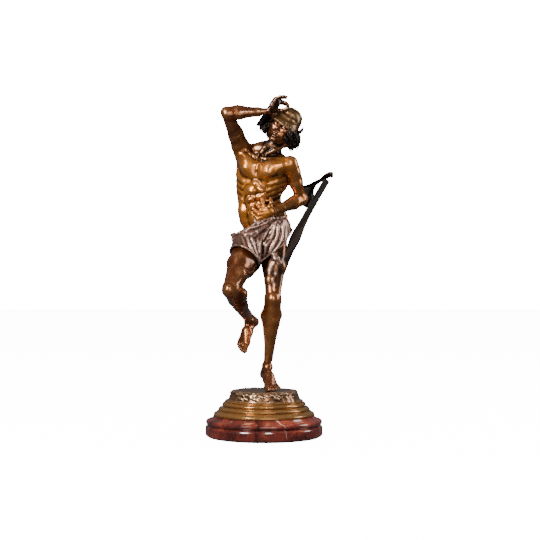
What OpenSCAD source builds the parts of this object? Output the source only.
// Bronze statuette of a dancing youth with a small mandolin, on a turned marble base.
// Frame: +Z up, the figure faces -Y, origin at the middle of the underside of the felt pad.

/* [Base] */
// Radius of the marble plinth
plinth_r = 82; // [78:1:90]
// Height of the lower marble drum
plinth_h = 15; // [13:1:20]
// Height of the upper marble ring
ring_h = 12.5; // [11:0.5:16]
// Height of the stepped bronze socle
socle_h = 22; // [20:1:28]
// Height of the rocky ground above the socle
ground_h = 14; // [12:1:18]
// Thickness of the felt pad
felt_t = 1.5; // [1:0.5:3]
// Wall of the cast bronze base shells
wall = 4; // [3:0.5:5]

/* [Figure] */
// Size of the figure against its normal size
figure_size = 1; // [0.92:0.02:1.06]
// Girth of the limbs against their normal girth
girth = 1; // [0.92:0.02:1.06]

/* [Fixings] */
// Diameter of the central tie rod
rod_d = 8; // [6:1:10]
// Diameter of the dowels that key the cast sections
dowel_d = 5; // [4:0.5:6]
// Diameter of the stud under the standing foot
stud_d = 5; // [4:0.5:6]

/* [Hidden] */

// Facets of the round forms that are blended into the figure, and of the small ones
facet = 14;
small_facet = 8;
// Gap left round a fixing
slip = 0.15;

// Levels of the base, from the table up
plinth_z = felt_t;
ring_z = plinth_z + plinth_h;
socle_z = ring_z + ring_h;
ground_z = socle_z + socle_h;
top_z = ground_z + ground_h;
web_t = 4;

// Bronze colours: lit brown on skin, greyer on cloth, near black on hair and instrument
skin_c = [0.45, 0.22, 0.08];
cloth_c = [0.38, 0.25, 0.18];
dark_c = [0.14, 0.08, 0.06];
hat_c = [0.36, 0.22, 0.10];
brass_c = [0.75, 0.60, 0.30];
steel_c = [0.55, 0.56, 0.58];
marble_c = [0.42, 0.10, 0.09];

// Joints of the figure, measured from the ground under the standing foot
hip_l = [18, 18, 217];
knee_l = [12.5, -10, 127];
ankle_l = [4.4, 12, 31];
heel_l = [-1, 26, 20];
ball_l = [11, -14, 5];
toe_l = [15, -28, 3];
hip_r = [-21, 8, 210];
knee_r = [-45.5, -53, 141];
ankle_r = [-20.5, 28, 96];
heel_r = [-12, 38.5, 94];
ball_r = [-28.5, 14, 63];
toe_r = [-32, 4, 52.5];
pelvis = [-1, 14, 212];
waist = [-5, 12, 246];
chest = [-4, 9, 292];
neck_base = [5, 12, 328];
skull = [26.5, -5, 365];
shoulder_l = [36, -6, 314.5];
elbow_l = [53, 21, 267];
wrist_l = [12.5, -14.5, 249];
shoulder_r = [-28, 18, 331];
elbow_r = [-51, -20, 385];
wrist_r = [6, -22, 387];
// Belt line round the waist: its middle, its half widths and its slope from side to side
belt_c = [0, 13, 230];
belt_r = [35.5, 24.5];
belt_slope = 0.4;
// How far the hips and the chest are turned
pelvis_yaw = 14;
chest_yaw = -20;
// Mandolin: end of the neck at the body, end at the pegbox, and which way the soundboard faces
neck_joint = [70, 30, 291];
pegbox_at = [84, 18, 298];
board_up = [-0.3, 0.12, 0.95];
// Strap ends
strap_top = [89, 15, 295];
strap_end = [24, 16.5, 163];
stud_at = [ball_l[0], ball_l[1], 0];

function mix(a, b, t) = a + (b - a) * t;
function unit(v) = v / norm(v);
function belt(a) = [belt_c[0] + belt_r[0] * cos(a), belt_c[1] + belt_r[1] * sin(a),
    belt_c[2] + belt_slope * belt_r[0] * cos(a)];

module on_ground() translate([0, 0, top_z]) scale(figure_size) children();
module ball(p, r, fn = facet) translate(p) sphere(r, $fn = fn);
module bone(p, q, rp, rq, fn = facet) hull() {
    ball(p, rp, fn);
    ball(q, rq, fn);
}
module chain(points, radii, fn = facet)
    for (i = [0 : len(points) - 2])
        bone(points[i], points[i + 1], radii[i], radii[i + 1], fn);
module lump(c, r, yaw = 0, fn = facet) translate(c) rotate([0, 0, yaw]) scale(r) sphere(1, $fn = fn);
// Stands its children's +Z along the line from p to q
module along(p, q) {
    d = q - p;
    translate(p) rotate([0, acos(d[2] / norm(d)), atan2(d[1], d[0])]) children();
}
module rod(p, q, r, fn = 48) along(p, q) cylinder(h = norm(q - p), r = r, $fn = fn);

// ---- Base ----
module felt_pad() color("darkgreen") cylinder(h = felt_t, r = plinth_r - 4, $fn = 96);

module marble_plinth() color(marble_c) difference() {
    translate([0, 0, plinth_z]) rotate_extrude($fn = 128) polygon([[0, 0], [plinth_r - 1.5, 0],
        [plinth_r, 1.5], [plinth_r, plinth_h - 3.5], [plinth_r - 0.5, plinth_h - 2],
        [plinth_r - 1.6, plinth_h - 0.8], [plinth_r - 3, plinth_h], [0, plinth_h]]);
    translate([0, 0, plinth_z - 1]) cylinder(h = plinth_h + 2, r = rod_d / 2 + 1, $fn = 64);
    translate([0, 0, plinth_z - 1]) cylinder(h = 10, r = 18, $fn = 64);
}

module marble_ring() color(marble_c) difference() {
    translate([0, 0, ring_z]) rotate_extrude($fn = 128) polygon(concat(
        [[0, 0], [plinth_r - 4, 0], [plinth_r - 4, 0.8]],
        [for (a = [-60 : 20 : 60]) [plinth_r - 4 + 3.5 * cos(a), 4.2 + 3.6 * sin(a)]],
        [[plinth_r - 4.5, 8.2], [plinth_r - 7, 9], [plinth_r - 9.5, 10.2], [plinth_r - 11, ring_h],
        [0, ring_h]]));
    translate([0, 0, ring_z - 1]) cylinder(h = ring_h + 2, r = rod_d / 2 + 1, $fn = 64);
}

// Outer line of the socle: torus, cove, torus, cove and fillet, from the marble up
function socle_line() = concat(
    [[plinth_r - 13, 0]],
    [for (a = [-60 : 20 : 60]) [plinth_r - 13.5 + 2.2 * cos(a), 2.4 + 2.4 * sin(a)]],
    [[plinth_r - 14, 5.2], [plinth_r - 15.2, 6.4], [plinth_r - 17.2, 7.4]],
    [for (a = [-60 : 20 : 60]) [plinth_r - 20.4 + 2.4 * cos(a), 9.8 + 2.3 * sin(a)]],
    [[plinth_r - 20.8, 12.6], [plinth_r - 22.6, 13.4]],
    [for (a = [-60 : 20 : 60]) [plinth_r - 26.8 + 3.4 * cos(a), 16.2 + 2.8 * sin(a)]],
    [[plinth_r - 27.5, 19.4], [plinth_r - 27, 20.4], [plinth_r - 27, socle_h - 1],
    [plinth_r - 28, socle_h]]);

module bronze_socle() color("sienna") difference() {
    translate([0, 0, socle_z]) rotate_extrude($fn = 128) polygon(concat([[rod_d / 2 + 0.5, 3]],
        [[plinth_r - 17 - wall, 3], [plinth_r - 17 - wall, 0]], socle_line(),
        [[plinth_r - 30 - wall, socle_h], [plinth_r - 30 - wall, 17], [plinth_r - 24 - wall, 12],
        [plinth_r - 24 - wall, 3 + web_t], [rod_d / 2 + 0.5, 3 + web_t]]));
}

// Uneven outline of the ground at the angle a
function rim(a, r) = r + 1.1 * sin(3 * a + 40) + 0.8 * sin(7 * a) + 0.4 * cos(11 * a);
module ground_layer(r, z, h) translate([0, 0, ground_z + z]) linear_extrude(height = h)
    polygon([for (a = [0 : 12 : 348]) rim(a, r) * [cos(a), sin(a)]]);
module stone(a, r, z, w, h, turn) rotate([0, 0, a]) translate([r, 0, ground_z + z])
    rotate([0, 0, turn]) hull() {
    translate([0, -w / 2, 0]) sphere(h * 0.45, $fn = small_facet);
    translate([0, w / 2, 0]) sphere(h * 0.4, $fn = small_facet);
    translate([-1, 0, h * 0.35]) sphere(h * 0.4, $fn = small_facet);
}
module ground() color("saddlebrown") difference() {
    union() {
        ground_layer(plinth_r - 30.2, 0, 4);
        rotate(20) ground_layer(plinth_r - 32.5, 4, 3.5);
        rotate(-35) ground_layer(plinth_r - 35.5, 7.5, ground_h - 7.5);
        for (i = [0 : 17])
            stone(i * 20, plinth_r - 35.8 + i % 2, 4 + i % 3, 6 + i % 4, 6, 12 * (i % 3));
    }
    translate([0, 0, ground_z - 1]) cylinder(h = ground_h - wall, r = plinth_r - 40 - wall, $fn = 64);
    translate([stud_at[0], stud_at[1], ground_z])
        cylinder(h = ground_h + 1, r = stud_d / 2 + slip, $fn = 48);
}

// ---- Fixings of the base ----
rod_bottom = plinth_z + 2;
rod_top = socle_z + 3 + web_t + 9;
nut_h = 5;
washer_t = 1.5;
module hex_nut(z, across, bore) translate([0, 0, z]) difference() {
    cylinder(h = nut_h, r = across / 2, $fn = 6);
    translate([0, 0, -1]) cylinder(h = nut_h + 2, r = bore, $fn = 48);
}
module washer(z, r, bore) translate([0, 0, z]) difference() {
    cylinder(h = washer_t, r = r, $fn = 64);
    translate([0, 0, -1]) cylinder(h = washer_t + 2, r = bore, $fn = 48);
}
module tie_rod() color(steel_c) translate([0, 0, rod_bottom])
    cylinder(h = rod_top - rod_bottom, r = rod_d / 2, $fn = 48);
module tie_rod_washers() color(steel_c) {
    washer(plinth_z + 9 - washer_t, 14, rod_d / 2 + slip);
    washer(socle_z + 3 + web_t, 12, rod_d / 2 + slip);
}
module tie_rod_nuts() color(brass_c) {
    hex_nut(plinth_z + 9 - washer_t - nut_h, rod_d * 1.9, rod_d / 2 + 0.05);
    hex_nut(socle_z + 3 + web_t + washer_t, rod_d * 1.9, rod_d / 2 + 0.05);
}
stud_low = top_z - wall - 9;
module at_stud() translate([stud_at[0], stud_at[1], 0]) children();
module foot_stud() color(steel_c) at_stud() translate([0, 0, stud_low])
    cylinder(h = top_z + 6 - stud_low, r = stud_d / 2, $fn = 48);
module foot_washer() color(steel_c) at_stud()
    washer(ground_z + ground_h - wall - 1 - washer_t, 8, stud_d / 2 + slip);
module foot_nut() color(brass_c) at_stud() translate([0, 0, 0])
    hex_nut(ground_z + ground_h - wall - 1 - washer_t - nut_h, stud_d * 2, stud_d / 2 + 0.05);

// ---- Legs ----
// Five toes from the ball of the foot: side points across the foot from the big toe
module toes(root, tip, side) for (i = [0 : 4]) {
    shorter = 0.07 * i * i;
    p = root + side * (i - 1.6) * 4.1;
    q = mix(p, tip + side * (i - 1.6) * 3.7, 1.25 - shorter);
    bone(p, q, (4.6 - 0.45 * i) * girth, (3.3 - 0.35 * i) * girth, small_facet);
}
module left_leg_form() {
    calf = mix(knee_l, ankle_l, 0.34) + [0.2, 6, 0];
    shin = mix(knee_l, ankle_l, 0.42);
    chain([mix(hip_l, knee_l, 0.12), mix(hip_l, knee_l, 0.5), mix(hip_l, knee_l, 0.82), knee_l,
        calf, mix(knee_l, ankle_l, 0.7), ankle_l], [18.5, 16, 13, 11.5, 13.4, 9.2, 6.7] * girth);
    bone(knee_l + [0, -3, 4], shin, 9 * girth, 8 * girth);
    ball([4.5, 8, 181], 11 * girth);
    chain([ankle_l, heel_l, heel_l + [3, -6, -6]], [6, 6, 4.5] * girth);
    chain([ankle_l + [1, -3, 1], mix(ankle_l, ball_l, 0.55) + [2, -4, 2], ball_l + [-3, 0, 1]],
        [6, 6.5, 5.5] * girth);
    bone(heel_l, ball_l + [4, 0, 0], 5 * girth, 5 * girth);
    toes(ball_l, toe_l, [0.96, 0.27, 0]);
}
module left_leg() color(skin_c) difference() {
    on_ground() left_leg_form();
    translate([-60, -60, top_z - 20]) cube([120, 120, 20]);
    at_stud() translate([0, 0, top_z - 1]) cylinder(h = 7 + slip, r = stud_d / 2 + slip, $fn = 24);
    thigh_dowel_holes();
    on_ground() rivet_hole();
}
module right_leg_form() {
    calf = mix(knee_r, ankle_r, 0.3) + [5, 2, -4];
    ham = mix(hip_r, knee_r, 0.45) + [2, 4, -3];
    chain([mix(hip_r, knee_r, 0.12) + [1, 2, -4], ham, mix(hip_r, knee_r, 0.85), knee_r,
        calf, mix(knee_r, ankle_r, 0.68), ankle_r], [21.5, 21.5, 15.5, 14, 13.5, 9, 6.8] * girth);
    ball([-19.5, 0, 175], 12.5 * girth);
    bone(knee_r + [-2, -3, 3], mix(knee_r, ankle_r, 0.4), 10.5 * girth, 8 * girth);
    chain([ankle_r, heel_r, heel_r + [-2, -6, -8]], [6.5, 6, 4.5] * girth);
    chain([ankle_r + [-1, -3, -1], mix(ankle_r, ball_r, 0.55) + [-1, -3, 0], ball_r + [1, 0, 1]],
        [6.5, 6.5, 5.5] * girth);
    bone(heel_r, ball_r + [-3, 0, 0], 5 * girth, 5 * girth);
    toes(ball_r, toe_r, [-0.9, 0.4, 0.1]);
}
module right_leg() color(skin_c) difference() {
    on_ground() right_leg_form();
    thigh_dowel_holes();
}

// ---- Torso and clothes ----
module in_chest() translate(chest) rotate([0, 0, chest_yaw]) children();
module torso_form() {
    ribs_low = [-6.5, 10, 268];
    hull() {
        lump(pelvis, [28, 18, 12], pelvis_yaw);
        lump(waist, [29, 18, 12], 0);
    }
    hull() {
        lump(waist, [29, 18, 12], 0);
        lump(ribs_low, [32.5, 20, 12], chest_yaw / 2);
    }
    hull() {
        lump(ribs_low, [32.5, 20, 12], chest_yaw / 2);
        lump(chest - [0.6, 0, 0], [37.8, 22, 16], chest_yaw);
    }
    hull() {
        lump(chest - [0.6, 0, 0], [37.8, 22, 16], chest_yaw);
        lump(chest + [4, 0, 20], [31, 16, 11], chest_yaw);
    }
    // chest muscles, shoulder blades and the two edges of the belly
    in_chest() for (s = [-1, 1]) {
        bone([s * 10, -15, 9], [s * 20, -12, 15], 8.5, 8);
        bone([s * 12, 14, 6], [s * 17, 10, 20], 8, 8);
        bone([s * 6, -13, -16], [s * 6 + 2, -11, -42], 7.5, 7.5);
    }
    // side of the chest drawn up by the raised arm, shoulders, and the slope from them to the neck
    chain([[-28, 12, 290], [-29, 15, 308], [-28, 18, 327]], [12.5, 12.5, 12]);
    bone([20, -1, 304], [34, -5, 313], 13, 11);
    bone([-24, 18, 333], neck_base + [-5, 3, 10], 11.5, 10);
    bone([32, -3, 313.5], neck_base + [0, 3, 4], 10, 8.5);
}
module torso_core()
    chain([[-4, 12, 200], [-5, 12, 250], [-4, 9, 292], [0, 9, 310]], [12, 12, 16, 9], small_facet);
module torso() color(skin_c) difference() {
    on_ground() difference() {
        torso_form();
        torso_core();
        left_arm_form();
        right_arm_form();
        neck_form();
        left_leg_form();
        right_leg_form();
    }
    shoulder_dowel_holes();
    neck_dowel_hole();
    waist_dowel_hole();
    thigh_dowel_holes();
}

// The two hems: each is a line across the front, between the outside of the hip and the crotch
hems = [[[-46, 0, 199], [-6, 0, 178]], [[0, 0, 181], [40, 0, 219]]];
module below_hem(h) {
    d = h[1] - h[0];
    translate(h[1]) rotate([0, -atan2(d[2], d[0]), 0]) translate([-90, -60, -70]) cube([180, 120, 70]);
}
module breeches_form() {
    hull() {
        lump([-1, 13, 226], [33, 23, 8], pelvis_yaw);
        lump([0, 15, 210], [37, 25, 10], pelvis_yaw);
    }
    hull() {
        lump([0, 15, 210], [36, 25, 10], pelvis_yaw);
        lump([5, 15, 188], [28, 22, 8], pelvis_yaw);
    }
    // the top of the thigh that lifts, and the bulge over the hip that carries the weight
    hull() {
        ball(hip_r + [3, 2, -6], 23.5);
        ball(mix(hip_r, knee_r, 0.3) + [2, 3, -2], 24);
    }
    lump([17, 14, 205], [24.5, 26, 22], pelvis_yaw);
    bone([-5, -6, 205], [-2, 2, 182], 14, 9);
    // folds that fan out from the crotch and from the belt
    for (i = [0 : 5])
        bone([-3, -6, 184], belt(-165 + 26 * i) + [0, 1, -5], 2.6, 3, small_facet);
    for (i = [0 : 3])
        bone(belt(-50 + 24 * i) + [0, 0, -3], [30 + 3 * i, -6 + 12 * i, 200], 2.6, 4, small_facet);
    for (i = [0 : 5])
        bone(belt(60 + 24 * i) + [0, -1, -4], [26 - 11 * i, 36 - i, 186], 3, 3.8, small_facet);
}
module breeches() color(cloth_c) difference() {
    on_ground() difference() {
        breeches_form();
        below_hem(hems[0]);
        below_hem(hems[1]);
        torso_form();
        torso_core();
        left_leg_form();
        right_leg_form();
        belt_form();
        strap_form();
        left_hand_form();
    }
    thigh_dowel_holes();
    waist_dowel_hole();
}

module belt_form() {
    for (i = [0 : 15]) bone(belt(i * 22.5), belt((i + 1) * 22.5), 3, 3, small_facet);
    // top of the cloth gathered over the cord, under the left hand
    chain([belt(-120), belt(-106) + [0, -1.5, 3], belt(-90) + [0, -2, 4.5], belt(-74) + [0, -1.5, 3.5],
        belt(-58)], [2.4, 3.6, 4.2, 3.6, 2.4], small_facet);
}
module sash() color(cloth_c) difference() {
    on_ground() difference() {
        belt_form();
        torso_form();
        left_hand_form();
        left_arm_form();
        knot_form();
    }
}
module knot_form() {
    at = belt(190) + [-1, -2, 1];
    ball(at, 5.5);
    chain([at, at + [-3, -1, -6], at + [-1, -2, -13]], [3, 2.6, 2], small_facet);
    chain([at, at + [-2, 3, -8], at + [1, 5, -16]], [3, 2.4, 1.8], small_facet);
    for (s = [-1, 1])
        chain([at, at + [-3, s * 5, 3], at + [-1, s * 7, -2], at], [2, 2.2, 2.2, 2], small_facet);
}
module sash_knot() color(cloth_c) on_ground() difference() {
    knot_form();
    torso_form();
    breeches_form();
}

// ---- Arms and hands ----
module left_arm_form() {
    chain([shoulder_l, mix(shoulder_l, elbow_l, 0.45), elbow_l], [12, 9.6, 8.4] * girth);
    bone(shoulder_l + [1, -3, 1], mix(shoulder_l, elbow_l, 0.6) + [0, -2, 0], 9.5 * girth, 8.4 * girth);
    chain([elbow_l, mix(elbow_l, wrist_l, 0.3), mix(elbow_l, wrist_l, 0.7), wrist_l],
        [8.4, 9.8, 8.2, 5.8] * girth);
    bone(elbow_l + [2, 3, 1], elbow_l, 6 * girth, 7 * girth);
    bone(elbow_l + [-2, 0, -2], mix(elbow_l, wrist_l, 0.5) + [0, 0, -2.5], 6.5 * girth, 7 * girth);
}
module left_arm() color(skin_c) difference() {
    on_ground() difference() {
        left_arm_form();
        bowl_form();
    }
    shoulder_dowel_holes();
    wrist_dowel_holes();
}
// A finger of two or three bones: its points, and its radius at the root
module finger(points, r)
    chain(points, [for (i = [0 : len(points) - 1]) r * girth * (1 - 0.13 * i)], small_facet);
module left_hand_form() {
    // knuckles from the first finger down to the little one, and where each fingertip rests
    knuckles = [[0, -16, 257], [-3, -16.5, 252.5], [-4.5, -16, 248], [-4, -15, 243.5]];
    tips = [[-3, -11, 267], [-11.5, -11, 261], [-18, -10, 253.5], [-16, -9, 246]];
    for (i = [0 : 3]) {
        bone(wrist_l + [-2, 0, 2 - 1.4 * i], knuckles[i], 4.4, 3.1, small_facet);
        finger([knuckles[i], mix(knuckles[i], tips[i], 0.5) + [0, -2, 1], tips[i]], 2.8 - 0.15 * i);
    }
    finger([wrist_l + [-2, -1, 3], [9.5, -14.5, 259], [9.5, -12, 267]], 3.2);
}
module left_hand() color(skin_c) difference() {
    on_ground() difference() {
        left_hand_form();
        torso_form();
        left_arm_form();
    }
    wrist_dowel_holes();
}
module right_arm_form() {
    chain([shoulder_r, mix(shoulder_r, elbow_r, 0.5), elbow_r], [12, 10, 8.4] * girth);
    bone(shoulder_r + [2, -2, 3], mix(shoulder_r, elbow_r, 0.6) + [2, -2, 2], 9 * girth, 8.4 * girth);
    chain([elbow_r, mix(elbow_r, wrist_r, 0.28), mix(elbow_r, wrist_r, 0.65), wrist_r],
        [8.4, 9.2, 7, 5.4] * girth);
    bone(elbow_r + [-2, 2, 0], elbow_r, 5 * girth, 7 * girth);
    bone(elbow_r + [0, -1, -3], mix(elbow_r, wrist_r, 0.3) + [0, 0, -2], 6.5 * girth, 7.5 * girth);
}
module right_arm() color(skin_c) difference() {
    on_ground() right_arm_form();
    shoulder_dowel_holes();
    wrist_dowel_holes();
}
module right_hand_form() {
    // knuckles run from the little finger, nearest the viewer, back to the first finger
    knuckles = [[15.5, -29, 402], [17, -25, 404], [18, -20.5, 404.5], [17.5, -16, 403]];
    for (k = knuckles) bone(wrist_r + [1, (k[1] + 22) * 0.5, 1], k, 4.6, 3.2, small_facet);
    bone([12, -23, 394], [17, -23.5, 400], 5.6, 6, small_facet);
    finger([knuckles[0], [23, -31, 406.5], [29, -31.5, 407]], 2.4);
    finger([knuckles[1], [25.5, -27, 405.5], [31, -27.5, 403]], 2.6);
    finger([knuckles[2], [27.5, -22, 403.5], [33, -23, 398.5]], 2.8);
    finger([knuckles[3], [26, -16, 402], [31.5, -17.5, 396.5]], 2.7);
    finger([wrist_r + [4, 3, 2], [20, -17, 389.5], [27, -20, 392], [32.5, -22, 395]], 3.2);
}
module right_hand() color(skin_c) difference() {
    on_ground() difference() {
        right_hand_form();
        right_arm_form();
    }
    wrist_dowel_holes();
}

// ---- Head ----
module neck_form()
    chain([neck_base + [0, 0, -4], neck_base + [4, -3, 16], skull + [-5, 5, -16]], [10, 9, 10]);
// Frame of the tipped head, origin mid skull and +Z to the crown, for the hair and the hat
module in_tip() translate(skull) rotate([0, 30, 0]) rotate([0, 0, 6]) children();
// The same frame turned with the face, which looks along -Y to the figure's own right
module in_head() in_tip() rotate([0, 0, -24]) scale(0.93) children();
module head_form() {
    in_head() {
        hull() {
            lump([0, 2, 6], [19, 22, 19]);
            lump([0, -3, -6], [16, 17, 12]);
        }
        hull() {
            lump([0, -5, -8], [14, 14, 10]);
            lump([0, -13, -22], [6, 5, 4.5]);
        }
        hull() {
            ball([0, -19, 2], 2, small_facet);
            ball([0, -22.5, -7], 2.6, small_facet);
        }
        bone([-2.5, -18.5, -14], [2.5, -18.5, -14], 2, 2, small_facet);
        for (s = [-1, 1]) bone([s * 10, -15, 3.5], [s * 4, -18, 3], 2, 2, small_facet);
    }
    neck_form();
}
module head() color(skin_c) difference() {
    on_ground() head_form();
    neck_dowel_hole();
}
module hair_form() {
    in_head() {
        lump([0, 4, 5], [21, 23, 16.5]);
        for (s = [-1, 1]) for (i = [0 : 5]) lock(s, i);
    }
    // locks that the tilt of the head lets fall free
    translate(skull) {
        chain([[-12, 6, 14], [-24, 2, 13], [-32, -1, 8], [-36.5, -2, 3]], [5, 5, 4, 1.5], small_facet);
        chain([[-12, 8, 10], [-24, 5, 8], [-30, 3, 2], [-31, 2, -3]], [5, 5, 4, 1.5], small_facet);
        chain([[-10, 10, 4], [-20, 7, 2], [-25, 5, -2], [-27, 4, -6]], [5, 5, 3.5, 1.5], small_facet);
        chain([[12, 6, -6], [17, 6, -15], [17.5, 5, -23], [20.5, 4, -29]], [6, 6, 4.5, 1.5], small_facet);
        chain([[8, 10, -8], [11, 10, -17], [10, 9, -25], [12.5, 8, -31]], [6, 6, 4.5, 1.5], small_facet);
        chain([[10, 16, -8], [12, 18, -17], [14, 17, -24], [12, 16, -29]], [6, 6, 4, 1.5], small_facet);
        chain([[14, 4, 0], [20, 4, -8], [21, 4, -17], [20, 3, -25]], [6, 5.5, 4.5, 1.5], small_facet);
        chain([[2, 12, -12], [4, 12, -18], [3, 11, -23], [3.5, 9, -26]], [6, 5, 3, 1.5], small_facet);
    }
}
module lock(s, i) {
    turn = -22 + 22 * i;
    top = [s * 18 * cos(turn), 3 + 20 * sin(turn), 3];
    out = [s * 24 * cos(turn), 4 + 24 * sin(turn), -6];
    chain([top, out, out + [s * -1, 2, -10 - 3 * (i % 2)]], [4.5, 6, 2.5], small_facet);
}
module hair() color(dark_c) on_ground() difference() {
    hair_form();
    head_form();
    hat_form();
    right_arm_form();
    right_hand_form();
    torso_form();
}
// Soft round hat, worn tipped to the left and back, with a narrow rolled brim
module in_hat() in_tip() translate([0, 1.5, 4.6]) rotate([5, 3, 0]) children();
module hat_form() in_hat() {
    hull() {
        lump([0, 0, 3], [20.8, 22.8, 5]);
        lump([0, 1.5, 12], [19.2, 20.8, 13]);
        lump([2, 3, 18.5], [15, 16.4, 10.4]);
    }
    for (i = [0 : 11]) bone([22 * cos(i * 30), 23.8 * sin(i * 30), 0.6],
        [22 * cos(i * 30 + 30), 23.8 * sin(i * 30 + 30), 0.6], 2, 2, small_facet);
}
module hat() color(hat_c) on_ground() difference() {
    hat_form();
    head_form();
    right_arm_form();
    right_hand_form();
}
module plume_form() in_hat()
    chain([[19, -7, 1], [22.5, -7.3, 5], [23.8, -6.5, 12.5]], [2.6, 2.8, 1.4], small_facet);
module hat_plume() color(dark_c) on_ground() difference() {
    plume_form();
    hat_form();
    hair_form();
}

// ---- Dowels between the cast sections ----
shoulder_dowels_at = [[mix(shoulder_r, neck_base, 0.02), mix(shoulder_r, neck_base, 0.62)],
    [mix(shoulder_l, neck_base, 0.02), mix(shoulder_l, neck_base, 0.62)]];
neck_dowel_at = [neck_base + [-1, 0, -22], neck_base + [3, -2, 10]];
waist_dowel_at = [[16, 14, 218], [16, 14, 206]];
wrist_dowels_at = [[mix(wrist_l, elbow_l, 0.2), wrist_l + [-9, -2, 4]],
    [mix(wrist_r, elbow_r, 0.2), wrist_r + [8, -1, 8]]];
thigh_dowels_at = [[mix(hip_l, knee_l, -0.15), mix(hip_l, knee_l, 0.25)],
    [mix(hip_r, knee_r, -0.15), mix(hip_r, knee_r, 0.25)]];
module dowels(lines, r) on_ground() for (l = lines) rod(l[0], l[1], r, 24);
module shoulder_dowels() color(brass_c) dowels(shoulder_dowels_at, dowel_d / 2);
module shoulder_dowel_holes() dowels(shoulder_dowels_at, dowel_d / 2 + slip);
module neck_dowel() color(brass_c) dowels([neck_dowel_at], dowel_d / 2);
module neck_dowel_hole() dowels([neck_dowel_at], dowel_d / 2 + slip);
module waist_dowel() color(brass_c) dowels([waist_dowel_at], 1.5);
module waist_dowel_hole() dowels([waist_dowel_at], 1.5 + slip);
module wrist_dowels() color(brass_c) dowels(wrist_dowels_at, 1.5);
module wrist_dowel_holes() dowels(wrist_dowels_at, 1.5 + slip);
module thigh_dowels() color(brass_c) dowels(thigh_dowels_at, dowel_d / 2);
module thigh_dowel_holes() dowels(thigh_dowels_at, dowel_d / 2 + slip);

// ---- Mandolin ----
neck_dir = unit(pegbox_at - neck_joint);
board_n = unit(board_up - neck_dir * (board_up * neck_dir));
board_w = cross(board_n, neck_dir);
body_len = 34;
body_w = 26;
bowl_d = 28;
board_t = 1.2;
neck_len = norm(pegbox_at - neck_joint);
// The mandolin's own frame: +X along the neck from the neck joint, +Z out of the soundboard
module in_mandolin() multmatrix([
    [neck_dir[0], board_w[0], board_n[0], neck_joint[0]],
    [neck_dir[1], board_w[1], board_n[1], neck_joint[1]],
    [neck_dir[2], board_w[2], board_n[2], neck_joint[2]]]) children();
// Pear-shaped outline: a round tail and a shoulder that runs up to the neck
function pear(n) = [for (i = [0 : n - 1]) let (a = 360 * i / n, x = -body_len / 2 + body_len / 2 * cos(a))
    [x, body_w / 2 * sin(a) * (1 - 0.28 * cos(a))]];
module bowl_form() in_mandolin() translate([0, 0, -board_t]) intersection() {
    translate([-60, -60, -60]) cube([120, 120, 60]);
    hull() {
        translate([-body_len * 0.6, 0, 0]) scale([body_len * 0.4, body_w / 2, bowl_d]) sphere(1, $fn = 24);
        translate([-6, 0, 0]) scale([7, 5.5, 7]) sphere(1, $fn = 16);
    }
}
module mandolin_bowl() color(dark_c) on_ground() difference() {
    bowl_form();
    in_mandolin() translate([-body_len * 0.6, 0, -board_t])
        scale([body_len * 0.4 - 2, body_w / 2 - 2, bowl_d - 2]) sphere(1, $fn = 16);
    in_mandolin() rod_to_body();
}
module rod_to_body() translate([-7, 0, -4]) rotate([0, 90, 0]) cylinder(h = 8, r = 1.5 + slip, $fn = 24);
module mandolin_soundboard() color("saddlebrown") on_ground() difference() {
    in_mandolin() translate([0, 0, -board_t]) linear_extrude(height = board_t) difference() {
        polygon(pear(40));
        translate([-body_len * 0.42, 0]) circle(r = 4, $fn = 32);
    }
    left_arm_form();
}
module mandolin_neck() color(dark_c) on_ground() in_mandolin() {
    translate([0.3, -2.4, -4.6]) cube([neck_len - 0.3, 4.8, 3.4]);
    translate([-6, 0, -4]) rotate([0, 90, 0]) cylinder(h = 6.5, r = 1.5, $fn = 24);
}
module mandolin_fingerboard() color("black") on_ground() in_mandolin() {
    translate([0.3, -2.6, -1.2]) cube([neck_len - 0.5, 5.2, 1.2]);
    for (i = [1 : 9]) translate([neck_len * (1 - pow(0.9, i)), -2.6, 0]) cube([0.5, 5.2, 0.4]);
}
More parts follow.
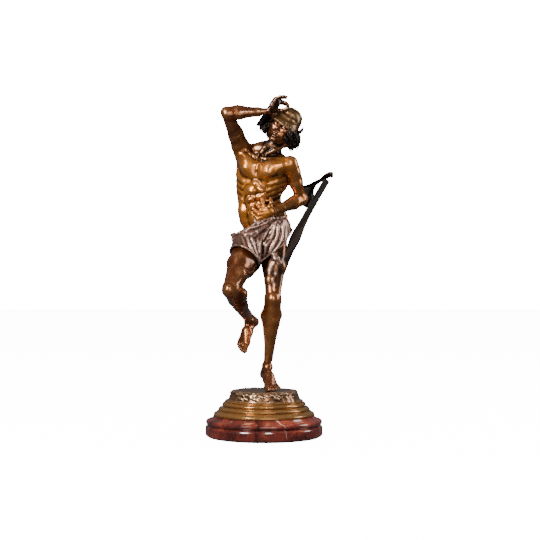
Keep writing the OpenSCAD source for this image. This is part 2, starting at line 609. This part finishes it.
// Box of the head, bent back from the neck, open at the top for the string rollers
module in_pegbox() in_mandolin() translate([neck_len, 0, -2]) rotate([0, 6, 0]) children();
module mandolin_pegbox() color(dark_c) on_ground() in_pegbox() difference() {
    union() {
        translate([0, -3.5, -2.5]) cube([13.5, 7, 8.5]);
        translate([13, 3.5, 1.6]) rotate([90, 0, 0]) cylinder(h = 7, r = 5, $fn = 40);
    }
    translate([1.5, -2, -1]) cube([10, 4, 8]);
    for (i = [0 : 3]) translate([2.8 + 2.6 * i, 10, 1.6]) rotate([90, 0, 0])
        cylinder(h = 20, r = 0.75, $fn = 24);
}
module mandolin_pegs() color(brass_c) on_ground() in_pegbox() for (i = [0 : 3]) {
    side = i % 2 == 0 ? 1 : -1;
    translate([2.8 + 2.6 * i, side * 1.2, 1.6]) rotate([-90 * side, 0, 0]) {
        cylinder(h = 5.6, r = 0.65, $fn = 24);
        translate([0, 0, 4.6]) cylinder(h = 2.6, r = 1.3, $fn = 24);
    }
}
module mandolin_bridge() color("black") on_ground() difference() {
    in_mandolin() translate([-body_len * 0.68, -5, 0]) cube([1.6, 10, 1.8]);
    left_arm_form();
}
module mandolin_strings() color(brass_c) on_ground() in_mandolin() for (i = [-1.5 : 1 : 1.5])
    rod([-body_len * 0.4, i * 1.1, 1.6], [neck_len + 0.5, i * 1.1, 0.9], 0.35, 16);

// ---- Strap ----
function strap_at(t) = mix(strap_top, strap_end, t) + [-6 * sin(180 * t), 0, -3 * sin(180 * t)];
module strap_form() {
    across = [0.9, 0, -0.44];
    for (i = [0 : 9]) hull() for (t = [i / 10, (i + 1) / 10]) for (s = [-1, 1])
        translate(strap_at(t) + s * (3.3 + 2.1 * t) * across) sphere(1.3, $fn = small_facet);
}
module strap() color(dark_c) on_ground() difference() {
    strap_form();
    left_leg_form();
    in_pegbox() translate([-1, -4.5, -4]) cube([22, 9, 9]);
    in_mandolin() translate([0, -3, -5]) cube([neck_len + 1, 6, 6]);
    rivet_hole();
}
module rivet_line(r, grow) translate(strap_at(0.95) + [0, 2 + grow, 0]) rotate([90, 0, 0])
    cylinder(h = 9 + grow, r = r, $fn = 24);
module rivet_hole() rivet_line(1.2 + slip, 1);
module strap_rivet() color(brass_c) on_ground() rivet_line(1.2, 0);

felt_pad();
marble_plinth();
marble_ring();
bronze_socle();
ground();
tie_rod();
tie_rod_washers();
tie_rod_nuts();
foot_stud();
foot_washer();
foot_nut();
left_leg();
right_leg();
torso();
breeches();
sash();
sash_knot();
left_arm();
left_hand();
right_arm();
right_hand();
head();
hair();
hat();
hat_plume();
neck_dowel();
shoulder_dowels();
wrist_dowels();
thigh_dowels();
waist_dowel();
mandolin_bowl();
mandolin_soundboard();
mandolin_neck();
mandolin_fingerboard();
mandolin_pegbox();
mandolin_pegs();
mandolin_bridge();
mandolin_strings();
strap();
strap_rivet();
